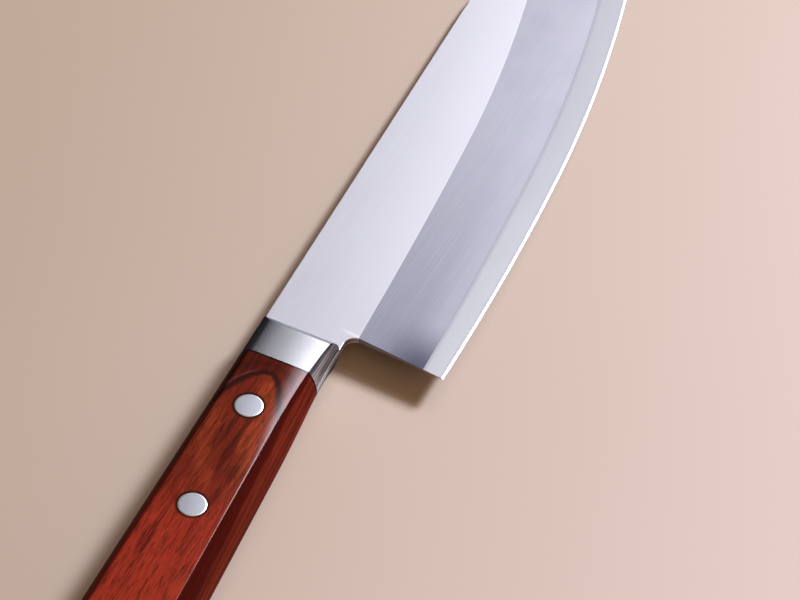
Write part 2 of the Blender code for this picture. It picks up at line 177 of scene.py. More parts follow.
def arc_through(start, angle, end):
    """The arc from start, at an angle there, to end: its start, heading, side, radius and length."""
    chord = end - start
    heading = np.array((math.cos(angle), math.sin(angle)))
    side = np.array((-heading[1], heading[0]))
    turn = 2 * math.atan2(chord @ side, chord @ heading)
    radius = np.linalg.norm(chord) / (2 * math.sin(turn / 2))
    return start, heading, side, radius, turn * radius


def along_arc(arc, length):
    """Points at given lengths along an arc, and the direction square to it on its left."""
    start, heading, side, radius, _ = arc
    a = (length / radius)[:, None]
    point = start + radius * (np.sin(a) * heading + (1 - np.cos(a)) * side)
    return point, np.cos(a) * side - np.sin(a) * heading


def edge_arcs():
    """The cutting edge from the heel: a long flat arc, then a tighter one up to the tip."""
    lowest = -math.asin(EDGE_LOWEST_AT / EDGE_HEEL_RADIUS)
    turn_at = math.asin((EDGE_BELLY_AT - EDGE_LOWEST_AT) / EDGE_HEEL_RADIUS)
    joint = np.array((EDGE_BELLY_AT, EDGE_HEEL_RADIUS * (math.cos(lowest) - math.cos(turn_at))))
    return arc_through(np.zeros(2), lowest, joint), arc_through(joint, turn_at, TIP)


def edge_at(length):
    """Points of the cutting edge at given lengths from the heel, with the direction square to it."""
    flat, belly = edge_arcs()
    first, first_side = along_arc(flat, np.minimum(length, flat[4]))
    second, second_side = along_arc(belly, np.maximum(length - flat[4], 0))
    on_flat = (length < flat[4])[:, None]
    return np.where(on_flat, first, second), np.where(on_flat, first_side, second_side)


def reach_to_spine(point, direction):
    """How far a ray from a point under the spine runs to it: a level line, then an arc down to the tip."""
    level = (SPINE - point[:, 1]) / direction[:, 1]
    over_x, over_y = TIP[0] - SPINE_BEND_AT, SPINE - TIP[1]
    radius = (over_x**2 + over_y**2) / (2 * over_y)
    from_centre = point - np.array((SPINE_BEND_AT, SPINE - radius))
    b = np.sum(from_centre * direction, axis=1)
    c = np.sum(from_centre**2, axis=1) - radius**2
    round_part = -b + np.sqrt(np.maximum(b**2 - c, 0))
    beyond = point[:, 0] + level * direction[:, 0] > SPINE_BEND_AT
    return np.where(beyond, round_part, level)


def settled(x, at_heel, value):
    """A size that differs at the heel and eases into its usual value along the blade."""
    share = np.clip(x / BEVEL_SETTLES_AT, 0, 1)
    return at_heel + (value - at_heel) * share * (2 - share)


def wedge(x):
    """At places along the edge: the bevel's width, its half thickness behind the edge, and its slope."""
    width = settled(x, BEVEL_WIDTH_HEEL, BEVEL_WIDTH)
    behind = settled(x, BEHIND_EDGE_HEEL, BEHIND_EDGE) / 2
    return width, behind, (BLADE_FACE - behind) / (width - EDGE_BEVEL_WIDTH)


def ground_height(away, x):
    """Half thickness left at a distance from the edge: a cutting bevel, then a long wedge."""
    _, behind, slope = wedge(x)
    cutting = HONED_EDGE + (behind - HONED_EDGE) * away / EDGE_BEVEL_WIDTH
    return np.where(away < EDGE_BEVEL_WIDTH, cutting, behind + slope * (away - EDGE_BEVEL_WIDTH))


def corner_line(x):
    """Y of the crisp corner between the handle's flat and its belly: a waist, a slope and a beak."""
    waist = BOLSTER_REAR - WAIST_BEHIND_BOLSTER
    ahead = np.maximum(x - waist, 0)
    behind = np.maximum(waist - x, 0)
    curved = np.minimum(behind, BELLY_SLOPE * WAIST_RADIUS_REAR)
    drop = ahead**2 / (2 * WAIST_RADIUS_FRONT) + curved**2 / (2 * WAIST_RADIUS_REAR)
    drop = drop + BELLY_SLOPE * (behind - curved)
    beak = np.maximum(BUTT + BEAK_LENGTH - x, 0)
    return SPINE - CORNER_DEPTH_AT_WAIST - drop - beak**2 / (2 * BEAK_RADIUS)


def belly_bulge(x):
    """How far the belly bulges past its corners: less and less towards the neck, where it meets the blade.

    Behind the bolster the wood flares out over a short length, and from there the bulge grows evenly.
    """
    at_neck = corner_line(BOLSTER_FRONT) - NECK
    places = (BUTT, BOLSTER_REAR, BOLSTER_FRONT)
    even = np.interp(x, places, (BELLY_BULGE_BUTT - BELLY_FLARE, BELLY_BULGE, at_neck))
    share = np.clip((BOLSTER_REAR - x) / BELLY_FLARE_LENGTH, 0, 1)
    return even + BELLY_FLARE * share * (2 - share)


def belly_line(x):
    """Y of the belly in the middle plane, where it bulges most."""
    return corner_line(x) - belly_bulge(x)


def thickness(x):
    """Thickness of the handle and bolster at the rims of their crowned flats: it grows evenly, then stays."""
    return THICKNESS_REAR - 2 * FACE_CROWN - 2 * TAPER_SLOPE * np.maximum(x - TAPER_END, 0)


def tang_bottom(x):
    """Y of the tang's lower side, hidden in the wood."""
    share = (BOLSTER_REAR - x) / (BOLSTER_REAR - BUTT)
    return SPINE - TANG_DEPTH - (TANG_DEPTH_BUTT - TANG_DEPTH) * share


def back_inset(height, thick):
    """How far the back leans in at a height: a round crown, then a small round up to the flat."""
    crown = thick / math.sqrt(2)
    flat_part = thick / 2 - BACK_CORNER_RADIUS
    centre = crown - np.sqrt((crown - BACK_CORNER_RADIUS) ** 2 - flat_part**2)
    join = crown * flat_part / (crown - BACK_CORNER_RADIUS)
    low = crown - np.sqrt(np.maximum(crown**2 - height**2, 0))
    high = centre - np.sqrt(np.maximum(BACK_CORNER_RADIUS**2 - (height - flat_part) ** 2, 0))
    return np.where(height < join, low, high)


def belly_inset(height, thick, bulge):
    """How far the belly leans in at a height: one arc as deep as the bulge."""
    radius = ((thick / 2) ** 2 + bulge**2) / (2 * bulge)
    return radius - np.sqrt(np.maximum(radius**2 - height**2, 0))


def face_height(x, y):
    """Height of the handle's gently crowned flat: half its thickness and a low arch across it."""
    low = corner_line(x)
    high = SPINE - back_inset(thickness(x) / 2, thickness(x))
    share = np.clip((y - low) / (high - low), 0, 1)
    width = np.minimum((high - low) / CROWN_WIDTH, 1)
    return thickness(x) / 2 + FACE_CROWN * width**2 * 4 * share * (1 - share)


# ---- meshes ----


def joined(*parts):
    """Arrays side by side in a new last axis, such as points from coordinates; a number holds for all."""
    return np.stack(np.broadcast_arrays(*parts), axis=-1)


def read(items, name, size, kind=np.float32):
    """A value of each of a mesh's items, with so many numbers to an item."""
    values = np.empty(len(items) * size, kind)
    items.foreach_get(name, values)
    return values.reshape(-1, size)


def placed(name, data):
    """A new object in the scene."""
    made = bpy.data.objects.new(name, data)
    bpy.context.scene.collection.objects.link(made)
    return made


def laid_down(points):
    """The same points, turned and moved to where the knife rests on the table."""
    cosine, sine = math.cos(RESTING_TURN), math.sin(RESTING_TURN)
    x, y, z = np.moveaxis(np.asarray(points, float), -1, 0)
    return joined(x * cosine + z * sine, y, z * cosine - x * sine) + RESTING_PLACE


def make_piece(name, points, faces, material):
    """A mesh object from points in the knife's directions, in an array of any shape."""
    mesh = bpy.data.meshes.new(name)
    mesh.from_pydata(laid_down(points).reshape(-1, 3).tolist(), [], faces)
    mesh.update()
    if material:
        mesh.materials.append(material)
    return placed(name, mesh)


def merge_points(piece):
    """Merges points that lie on each other, such as the two sides of a closed end."""
    shape = bmesh.new()
    shape.from_mesh(piece.data)
    bmesh.ops.remove_doubles(shape, verts=shape.verts, dist=MERGED_WITHIN)
    bmesh.ops.recalc_face_normals(shape, faces=shape.faces)
    shape.to_mesh(piece.data)
    shape.free()


def smooth_but_corners(piece):
    """Shades a piece smooth, and keeps its sharper edges."""
    piece.data.shade_smooth()
    piece.data.set_sharp_from_angle(angle=ROUNDED_BELOW)


def ring_faces(rings, size):
    """Quads between closed rings of points, and a cap on the first and the last ring."""
    ring, corner = np.meshgrid(np.arange(rings - 1), np.arange(size), indexing="ij")
    after = (corner + 1) % size
    low, high = ring * size, (ring + 1) * size
    quads = joined(low + corner, low + after, high + after, high + corner).reshape(-1, 4)
    caps = [list(range(size)), list(range((rings - 1) * size, rings * size))]
    return quads.tolist() + caps


def grid_quads(index):
    """Quads between the neighbours of a grid of point numbers, counter-clockwise."""
    return joined(index[:-1, :-1], index[1:, :-1], index[1:, 1:], index[:-1, 1:]).reshape(-1, 4)


def shell(name, flat_points, quads, low, high, material, values):
    """A closed plate: the grid at its high and its low heights, and a wall along the grid's outer edges.

    An edge is an outer one where only one quad has it. Values are carried by both faces of the plate.
    """
    count = len(flat_points)
    points = np.concatenate([joined(*flat_points.T, z) for z in (high, low)])
    starts, ends = quads.ravel(), np.roll(quads, -1, axis=1).ravel()
    outer = ~np.isin(starts * count + ends, ends * count + starts)
    a, b = starts[outer], ends[outer]
    walls = joined(b, a, a + count, b + count)
    faces = np.concatenate([quads, quads[:, ::-1] + count, walls])
    piece = make_piece(name, points, faces.tolist(), material)
    attribute = piece.data.attributes.new("ground", "FLOAT_VECTOR", "POINT")
    attribute.data.foreach_set("vector", np.concatenate([values, values]).astype(np.float32).ravel())
    return piece, joined(a, b)


def mark_edges(piece, pairs, kind, value):
    """Gives the edges between pairs of points a value, such as a bevel's weight or a crisp shading."""
    mesh = piece.data
    ends = np.sort(read(mesh.edges, "vertices", 2, np.int32), axis=1)
    pairs = np.sort(pairs, axis=1)
    count = len(mesh.vertices)
    chosen = np.isin(ends[:, 0] * count + ends[:, 1], pairs[:, 0] * count + pairs[:, 1])
    data_type, number = ("BOOLEAN", bool) if kind == "sharp_edge" else ("FLOAT", np.float32)
    attribute = mesh.attributes.get(kind) or mesh.attributes.new(kind, data_type, "EDGE")
    values = read(attribute.data, "value", 1, number)[:, 0]
    values[chosen] = value
    attribute.data.foreach_set("value", values)


def ease(piece):
    """Rounds the weighted edges."""
    rounding = piece.modifiers.new("eased_edges", "BEVEL")
    rounding.width, rounding.segments, rounding.limit_method = EASED_EDGE, ROUND_SEGMENTS, "WEIGHT"
    rounding.use_clamp_overlap = False
    rounding.harden_normals = True


# ---- blade ----


def choil_arc():
    """The round where the neck's underside turns down into the heel line, from the neck to the heel."""
    corner = HEEL_UP * NECK / HEEL_UP[1]
    half = (math.pi / 2 - HEEL_LEAN) / 2
    reach = CHOIL_RADIUS / math.tan(half)
    middle = -HEEL_UP + (-1.0, 0.0)
    centre = corner + middle / np.linalg.norm(middle) * CHOIL_RADIUS / math.sin(half)
    sweep = np.linspace(math.pi / 2, -HEEL_LEAN, CHOIL_STATIONS)
    return centre + CHOIL_RADIUS * joined(np.cos(sweep), np.sin(sweep)), corner - HEEL_UP * reach


def tang_columns():
    """Feet and heads of the lines that fill the blank behind the heel, from the butt to the heel line."""
    swing = np.linspace(0, math.pi / 2, SHORT_COLUMNS)
    butt_x = BUTT + BUTT_BACK_RADIUS * (1 - np.cos(swing))
    butt_y = SPINE - BUTT_BACK_RADIUS * (1 - np.sin(swing))
    tang_x = np.linspace(butt_x[-1], BOLSTER_REAR, TANG_COLUMNS)[1:]
    bolster_x = np.linspace(BOLSTER_REAR + 2 * GLUE_GAP, BOLSTER_FRONT, SHORT_COLUMNS)
    choil, heel = choil_arc()
    heads_to = heel + reach_to_spine(heel[None], HEEL_UP[None]) * HEEL_UP
    round_heads = np.linspace(BOLSTER_FRONT, heads_to[0], len(choil) + 1)[1:]
    in_wood = np.append(butt_x, tang_x)
    feet = [joined(in_wood, tang_bottom(in_wood)), joined(bolster_x, belly_line(bolster_x)), choil]
    heads = joined(np.concatenate([in_wood, bolster_x, round_heads]), SPINE)
    heads[: len(butt_y), 1] = butt_y
    return np.concatenate(feet), heads


def blade_grid(breaks, end):
    """Grid of the ground blade: stations along the edge, and rows between breaks.

    A station is a line square to the edge; near the heel it leans over to the heel line. A break is a
    distance from the edge, a share of the line's length and the number of rows up to the next break. Towards
    the tip the breaks are held below their shares, so that they close up without crossing.
    """
    station = end * np.linspace(0, 1, EDGE_STATIONS)
    point, side = edge_at(station)
    lean = np.clip(1 - station / HEEL_LEAN_FADES_AT, 0, 1)[:, None]
    direction = lean * HEEL_UP + (1 - lean) * side
    direction /= np.linalg.norm(direction, axis=1)[:, None]
    square = np.sum(direction * side, axis=1)
    full = reach_to_spine(point, direction) * square
    places, shares, rows = zip(*breaks)
    places = [at(point[:, 0]) if callable(at) else at for at in places]
    lines = [np.minimum(at, full * share) for at, share in zip(places, shares)] + [full]
    away = [lines[0]]
    for low, high, steps in zip(lines, lines[1:], rows):
        share = np.linspace(0, 1, steps + 1)[1:, None]
        away.extend(low + (high - low) * share)
    away = np.array(away)
    flat = point + direction * (away / square)[..., None]
    return flat, away, point[:, 0]


def blade_layer(name, breaks, end, limits, material):
    """One layer of the blade, as one shell: a ground grid ahead of the heel and a plain one behind it.

    It comes with its rim as pairs of points, the rows of points at its breaks, and a face's number of points.
    """
    flat, away, edge_x = blade_grid(breaks, end)
    feet, heads = tang_columns()
    places, _, rows = zip(*breaks)
    break_rows = np.cumsum((0,) + rows[:-1])
    heel_row = break_rows[places.index(choil_break)]
    line = flat[heel_row:, 0]
    share = np.linalg.norm(line - line[0], axis=1) / np.linalg.norm(line[-1] - line[0])
    tail = feet[:-1] + (heads - feet)[:-1] * share[:, None, None]
    front_index = np.arange(flat[..., 0].size).reshape(flat.shape[:2])
    tail_index = np.arange(tail[..., 0].size).reshape(tail.shape[:2]) + front_index.size
    tail_index = np.concatenate([tail_index, front_index[heel_row:, :1]], axis=1)
    quads = np.concatenate([grid_quads(front_index.T), grid_quads(tail_index.T)])
    points = np.concatenate([flat.reshape(-1, 2), tail.reshape(-1, 2)])
    ground = joined(away, away - clad_line(edge_x), away - ridge_line(edge_x)).reshape(-1, 3) / MM
    above = tail[..., 1].reshape(-1, 1) * away[-1, 0] / SPINE
    plain = (above - (0, clad_line(0), BEVEL_WIDTH_HEEL)) / MM
    height = np.concatenate([ground_height(away, edge_x).ravel(), np.full(tail[..., 0].size, BLADE_FACE)])
    low, high = limits(height)
    piece, outer = shell(name, points, quads, low, high, material, np.concatenate([ground, plain]))
    return piece, outer, front_index[break_rows], len(points)


def ridge_line(x):
    """Distance from the edge of the ridge, where the wedge meets the flat."""
    return wedge(x)[0]


def core_limits(height):
    """The lower and upper side of the core where the wheels leave a height."""
    top = np.minimum(height, CORE_FACE)
    return -top, top


def clad_line(x):
    """Distance from the edge at which the wedge comes through the outer sheet."""
    _, behind, slope = wedge(x)
    return EDGE_BEVEL_WIDTH + (SHEET_FACE - behind) / slope


def station_where_sheet_ends():
    """Length along the edge at which the line to the spine is as short as the clad line's distance."""
    flat, belly = edge_arcs()
    station = np.linspace(0, flat[4] + belly[4], SEARCH_STATIONS)
    point, side = edge_at(station)
    spare = reach_to_spine(point, side) - clad_line(point[:, 0])
    half = SEARCH_STATIONS // 2
    return np.interp(0, -spare[half:], station[half:])


def make_core(material):
    """The hard core: cutting bevel, bright strip, and the hidden sheet between the claddings."""
    flat, belly = edge_arcs()
    breaks = ((0, 0, 1), (EDGE_BEVEL_WIDTH, 0.12, 2), (clad_line, 0.5, 3), (choil_break, 0.9, 4))
    end = flat[4] + belly[4]
    piece, outer, lines, count = blade_layer("forged_core", breaks, end, core_limits, material)
    smooth_but_corners(piece)
    bevel_row, strip_row = (joined(line[:-1], line[1:]) for line in lines[1:3])
    for pairs in (bevel_row, strip_row, outer):
        mark_edges(piece, np.concatenate([pairs, pairs + count]), "sharp_edge", True)
    return piece


def choil_break(x):
    """Distance from the edge of the choil's lower end, which changes along the edge as the bevel does."""
    _, heel = choil_arc()
    square = HEEL_UP @ edge_at(np.zeros(1))[1][0]
    return ridge_line(x) * np.linalg.norm(heel) * square / BEVEL_WIDTH_HEEL


def make_cladding(name, side, material):
    """A soft outer sheet: the wide satin bevel, the crisp ridge and the polished flat, with eased rims."""
    breaks = ((clad_line, 1, 5), (choil_break, 0.9, 1), (ridge_line, 0.95, 4))
    end = station_where_sheet_ends()

    def limits(height):
        top = np.maximum(np.minimum(height, BLADE_FACE), SHEET_FACE + FEATHER_EDGE)
        inner = np.full(len(top), SHEET_FACE)
        return (inner, top) if side > 0 else (-top, -inner)

    piece, outer, lines, count = blade_layer(name, breaks, end, limits, material)
    face = 0 if side > 0 else count
    smooth_but_corners(piece)
    clad, _, ridge = lines
    ridge_row = np.concatenate([joined(ridge[:-1], ridge[1:]), lines[None, 1:, 0]]) + face
    mark_edges(piece, ridge_row, "sharp_edge", True)
    feather = set(clad.tolist())
    rim = np.array([pair for pair in outer.tolist() if not feather.issuperset(pair)])
    mark_edges(piece, np.concatenate([outer, outer + count]), "sharp_edge", True)
    mark_edges(piece, worth_easing(piece, rim + face), "bevel_weight_edge", 1.0)
    ease(piece)
    return piece


def worth_easing(piece, pairs):
    """The pairs of points on the spine and under the neck, where the sheet is thick enough for a round."""
    x, y, _ = read(piece.data.vertices, "co", 3).T - RESTING_PLACE[:, None]
    from_clad = read(piece.data.attributes["ground"].data, "vector", 3)[:, 1] * MM
    neck = x < -EASED_BEHIND_HEEL
    spine = (y > SPINE - EASED_EDGE) & (from_clad > EASED_FROM_CLAD)
    return pairs[((x > BOLSTER_FRONT) & (neck | spine))[pairs].all(axis=1)]


# ---- bolster ----


def shoulder(x):
    """Height of the cheek seen from its side: the handle's half thickness, then a round down to the blade."""
    along = np.clip(x - (BOLSTER_FRONT - SHOULDER_RADIUS), 0, SHOULDER_RADIUS)
    roll = CHEEK_FACE + np.sqrt(np.maximum(SHOULDER_RADIUS**2 - along**2, 0))
    flat = thickness(x) / 2
    gap = np.clip(0.5 + 0.5 * (flat - roll) / SHOULDER_BLEND, 0, 1)
    blend = flat + (roll - flat) * gap - SHOULDER_BLEND * gap * (1 - gap)
    return np.maximum(np.where(roll > flat + SHOULDER_BLEND, flat, blend), CHEEK_FACE)


def make_cheek(name, side, material):
    """Half of the bolster: sections whose rims follow the handle's, cut off at the shoulder's height."""
    swing = np.linspace(0, math.pi / 2, SHOULDER_SECTIONS)
    front = BOLSTER_FRONT - SHOULDER_RADIUS * (1 - np.sin(swing))
    rear = np.linspace(BOLSTER_REAR, front[0], SHORT_COLUMNS)[:-1]
    x = np.concatenate([rear, front])[:, None]
    thick, bulge = thickness(x), belly_bulge(x)
    top = shoulder(x)
    rise = np.sin(np.linspace(0, math.pi / 2, RIM_LEVELS))[None]
    height = CHEEK_FACE + (top - CHEEK_FACE) * rise
    back = SPINE - back_inset(height, thick)
    belly = belly_line(x) + belly_inset(height, thick, bulge)
    row = np.linspace(0, 1, FACE_ROWS)[None, 1:-1]
    across = back[:, -1:] + (belly[:, -1:] - back[:, -1:]) * row
    crown = face_height(x, across) - thick / 2
    fade = np.clip((top - CHEEK_FACE) / (thick / 2 - CHEEK_FACE), 0, 1) ** CROWN_FADE
    y = np.concatenate([back, across, belly[:, ::-1]], axis=1)
    z = np.concatenate([height, top + crown * fade, height[:, ::-1]], axis=1)
    piece = make_piece(name, joined(x, y, side * z), ring_faces(*y.shape), material)
    merge_points(piece)
    smooth_but_corners(piece)
    return piece


# ---- handle ----


def butt_halves():
    """The end of the handle in the middle plane: from the back and from the belly to where they meet."""
    swing = np.linspace(0, math.pi / 2, BUTT_COLUMNS)
    meet = [(BUTT, (SPINE - BUTT_BACK_RADIUS + belly_line(BUTT) + BUTT_BELLY_RADIUS) / 2)]
    back_x = LAST_SECTION - BUTT_BACK_RADIUS * np.sin(swing)
    back_y = SPINE - BUTT_BACK_RADIUS * (1 - np.cos(swing))
    inner = BUTT + BUTT_BELLY_RADIUS
    lead = np.linspace(LAST_SECTION, inner, LEAD_COLUMNS)[:-1]
    round_x = inner - BUTT_BELLY_RADIUS * np.sin(swing)
    round_y = belly_line(inner) + BUTT_BELLY_RADIUS * (1 - np.cos(swing))
    back = np.concatenate([joined(back_x, back_y), meet])
    belly = np.concatenate([joined(lead, belly_line(lead)), joined(round_x, round_y), meet])
    return evenly(back), evenly(belly)


def evenly(line):
    """The same line, with the butt's number of points at even lengths."""
    length = np.append(0, np.cumsum(np.linalg.norm(np.diff(line, axis=0), axis=1)))
    at = np.linspace(0, length[-1], BUTT_COLUMNS)
    return joined(*(np.interp(at, length, part) for part in line.T))


def rim_levels(point, share):
    """(inset, height) of the rim at each point, from the middle plane to the flat.

    The back's kind of rim is read off its heights. The belly's kind is an arc that a small quadratic curve
    joins to the flat. A share between them mixes the two at the butt.
    """
    thick = thickness(point[:, 0])[:, None]
    bulge = belly_bulge(point[:, 0])[:, None]
    half = thick / 2
    level = np.linspace(0, 1, RIM_LEVELS)[None]
    back_height = half * np.sin(level * math.pi / 2)
    back = joined(back_inset(back_height, thick), back_height)
    radius = (half**2 + bulge**2) / (2 * bulge)
    corner = np.arcsin(half / radius)
    bent = 0.7
    turn = (corner - ARRIS_ROUND / radius) * np.minimum(level / bent, 1)
    arc = joined(radius * (1 - np.cos(turn)), radius * np.sin(turn))
    t = np.clip((level - bent) / (1 - bent), 0, 1)[..., None]
    sharp = joined(bulge, half)
    flat = sharp + np.array((ARRIS_ROUND, 0))
    curve = (1 - t) ** 2 * arc + 2 * t * (1 - t) * sharp + t**2 * flat
    part = share[:, None, None]
    return (1 - part) * back + part * curve


def make_wood(material):
    """The wooden block: rings from the back by the right side to the belly, and home on the left."""
    x = np.linspace(WOOD_FRONT, LAST_SECTION, HANDLE_COLUMNS)[:-1]
    back_end, belly_end = butt_halves()
    back = np.concatenate([joined(x, SPINE), back_end])
    belly = np.concatenate([joined(x, belly_line(x)), belly_end])
    straight = len(x) + 1
    sides = []
    for line, sign in ((back, -1), (belly, 1)):
        along = np.gradient(line, axis=0)
        along /= np.linalg.norm(along, axis=1)[:, None]
        inward = joined(along[:, 1], -along[:, 0]) * sign
        inward[:straight] = (0, sign)
        inward[-1] = (1, 0)
        share = np.clip((SPINE - line[:, 1]) / (SPINE - belly_line(BUTT)), 0, 1) ** KIND_POWER
        share[:straight] = sign > 0
        ease_in = np.clip((np.arange(len(line)) - straight) / KIND_COLUMNS, 0, 1)
        share = share * ease_in + share[0] * (1 - ease_in)
        rim = rim_levels(line, share)
        spot = line[:, None] + inward[:, None] * rim[..., :1]
        sides.append(np.concatenate([spot, rim[..., 1:]], axis=-1))
    back_rim, belly_rim = sides
    row = np.linspace(0, 1, FACE_ROWS)[None, 1:-1, None]
    across = back_rim[:, -1:] + (belly_rim[:, -1:] - back_rim[:, -1:]) * row
    width = np.linalg.norm(back_rim[:, -1, :2] - belly_rim[:, -1, :2], axis=1)
    arch = 4 * row[..., 0] * (1 - row[..., 0])
    across[..., 2] += FACE_CROWN * np.minimum(width / CROWN_WIDTH, 1)[:, None] ** 2 * arch
    right = np.concatenate([back_rim, across, belly_rim[:, ::-1]], axis=1)
    left = right[:, -2:0:-1] * (1, 1, -1)
    rings = np.concatenate([right, left], axis=1)
    block = make_piece("red_wood_block", rings, ring_faces(*rings.shape[:2])[:-1], material)
    merge_points(block)
    carve(block)
    smooth_but_corners(block)
    return block


def carve(block):
    """Cuts the slot for the tang and the stepped holes for the rivets."""
    x = np.array((WOOD_FRONT + PAST, BUTT - PAST))
    bottom = tang_bottom(x) - GLUE_GAP
    half = BLADE_FACE + GLUE_GAP
    outline = [(x[0], SPINE + PAST), (x[1], SPINE + PAST), (x[1], bottom[1]), (x[0], bottom[0])]
    rings = [[(a, b, z) for a, b in outline] for z in (-half, half)]
    cutters = [make_piece("slot_cutter", rings, ring_faces(2, 4), None)]
    for centre in rivet_centres():
        seat = head_seat(centre) - RIVET_GAP
        bore, hole, top = RIVET_HEAD_RADIUS + HEAD_GAP, RIVET_TUBE_RADIUS + RIVET_GAP, THICKNESS_REAR
        profile = [(0, top), (bore, top), (bore, seat), (hole, seat)]
        profile += [(radius, -height) for radius, height in profile[::-1]]
        cutters.append(turned("rivet_cutter", 0, centre, profile, None))
    for cutter in cutters:
        merge_points(cutter)
        cut = block.modifiers.new("cut", "BOOLEAN")
        cut.operation, cut.solver, cut.object = "DIFFERENCE", "EXACT", cutter
        graph = bpy.context.evaluated_depsgraph_get()
        result = bpy.data.meshes.new_from_object(block.evaluated_get(graph))
        block.modifiers.clear()
        block.data = result
        bpy.data.objects.remove(cutter)


# ---- rivets ----


def rivet_centres():
    """Centres of the rivets, on a line that sinks a little towards the butt."""
    y = SPINE - RIVET_DEPTH - RIVET_LINE_SLOPE * (RIVETS_BEHIND_BOLSTER - RIVETS_BEHIND_BOLSTER[0])
    return joined(BOLSTER_REAR - RIVETS_BEHIND_BOLSTER, y)


def head_seat(centre):
    """Height of the floor under a rivet's head."""
    return float(thickness(centre[0] + RIVET_HEAD_RADIUS)) / 2 - RIVET_HEAD_THICKNESS


def turned(name, side, centre, profile, material):
    """A piece turned on a lathe round a line across the blade, from a profile of (radius, height).

    It begins with a rivet's head, ground to the right face of the handle where side is 1 and to the left face
    where it is -1, or without one where it is 0.
    """
    head = head_profile(side) if side else []
    radius, height = np.array(head + profile, float).T
    on_face = np.array([side] * len(head) + [0] * len(profile))[:, None]
    angle = np.linspace(0, 2 * math.pi, ROUND_SIDES, endpoint=False)[None]
    x = centre[0] + radius[:, None] * np.cos(angle)
    y = centre[1] + radius[:, None] * np.sin(angle)
    z = height[:, None] + on_face * face_height(x, y)
    return make_piece(name, joined(x, y, z), ring_faces(*x.shape), material)


def head_profile(side):
    """A ground head, from its middle to its rim, above a face: a very low dome, then a small chamfer."""
    rim = RIVET_HEAD_RADIUS - HEAD_CHAMFER
    radius = RIVET_HEAD_RADIUS * np.linspace(0, 1, HEAD_RINGS)
    radius = np.append(radius[radius < rim], rim)
    points = [*zip(radius, side * HEAD_DOME * (1 - (radius / RIVET_HEAD_RADIUS) ** 2))]
    points.append((RIVET_HEAD_RADIUS - HEAD_CHAMFER / 3, -side * HEAD_CHAMFER / 4))
    points.append((RIVET_HEAD_RADIUS, -side * HEAD_CHAMFER))
    return points


def make_rivet(place, centre, material):
    """The two halves of a rivet: a head with a tube from the right, and a head with a pin from the left."""
    seat = head_seat(centre)
    end = BLADE_FACE + RIVET_GRIP
    bore = RIVET_PIN_RADIUS + RIVET_GAP
    tube = [(RIVET_HEAD_RADIUS, seat), (RIVET_TUBE_RADIUS, seat), (RIVET_TUBE_RADIUS, -end)]
    tube += [(bore, -end), (bore, seat), (0, seat)]
    pin = [(RIVET_HEAD_RADIUS, -seat), (RIVET_PIN_RADIUS, -seat), (RIVET_PIN_RADIUS, end), (0, end)]
    halves = [turned("satin_tube_" + place, 1, centre, tube, material)]
    halves.append(turned("satin_pin_" + place, -1, centre, pin, material))
    for half in halves:
        merge_points(half)
        smooth_but_corners(half)
    return halves


# ---- finishes ----


def math_node(operation, reflected=False):
    """An operator that adds a Math node, with the signal first, or last where the operator is reflected."""

    def operator(self, other):
        inputs = (other, self) if reflected else (self, other)
        return self.wiring.node("ShaderNodeMath", {"operation": operation}, inputs)

    return operator


class Signal:
    """A number or colour that varies over a surface. Arithmetic on it adds Math nodes."""

    def __init__(self, wiring, socket):
        self.wiring, self.socket = wiring, socket

    __add__ = __radd__ = math_node("ADD")
    __sub__, __rsub__ = math_node("SUBTRACT"), math_node("SUBTRACT", reflected=True)
    __mul__ = __rmul__ = math_node("MULTIPLY")
    __truediv__, __pow__, least = math_node("DIVIDE"), math_node("POWER"), math_node("MINIMUM")

    def size(self):
        """The number without its sign."""
        return self.wiring.node("ShaderNodeMath", {"operation": "ABSOLUTE"}, (self,))

    def step(self, low, high):
        """0 below low and 1 above high, with a soft S between them; reversed where low is the higher one."""
        settings = {"interpolation_type": "SMOOTHSTEP"}
        inputs = (self, low, high, 0.0, 1.0) if low < high else (self, high, low, 1.0, 0.0)
        return self.wiring.node("ShaderNodeMapRange", settings, inputs)

    def band(self, middle, half):
        """1 at a value, falling to 0 at half a width away from it."""
        return (self - middle).size().step(half, 0.0)


class Wiring:
    """Nodes under construction for a material, lamp or world, ahead of the shader that they end in."""

    def __init__(self, owner, shader):
        owner.use_nodes = True
        self.owner, self.tree = owner, owner.node_tree
        self.shader = self.tree.nodes[shader]

    def fill(self, socket, value):
        """Links a signal to a socket, or sets the socket to a fixed value."""
        if isinstance(value, Signal):
            self.tree.links.new(value.socket, socket)
        else:
            socket.default_value = value

    def feed(self, **sockets):
        """Fills the shader's sockets, and returns what the nodes are for."""
        for name, value in sockets.items():
            self.fill(self.shader.inputs[name.replace("_", " ").title().replace("Ior", "IOR")], value)
        return self.owner

    def node(self, kind, settings, inputs, output=0):
        """Adds a node, sets it, fills its sockets by order or by name, and returns one output."""
        made = self.tree.nodes.new(kind)
        for name, value in settings.items():
            setattr(made, name, value)
        items = inputs.items() if isinstance(inputs, dict) else enumerate(inputs)
        for key, value in items:
            self.fill(made.inputs[key], value)
        return Signal(self, made.outputs[output])

    def parts(self, vector):
        """The three numbers of a vector."""
        return [self.node("ShaderNodeSeparateXYZ", {}, (vector,), k) for k in range(3)]

    def mix(self, share, low, high):
        """One colour where share is 0 and another where it is 1, as signals or as a screen shows them."""
        settings = {"data_type": "RGBA", "clamp_factor": True}
        low, high = (tone(*tint) if isinstance(tint, tuple) else tint for tint in (low, high))
        return self.node("ShaderNodeMix", settings, {0: share, 6: low, 7: high}, 2)

    def layers(self, colour, *coats):
        """A colour under coats, each given as how much of it covers and its colour."""
        for share, tint in coats:
            colour = self.mix(share, colour, tint)
        return colour


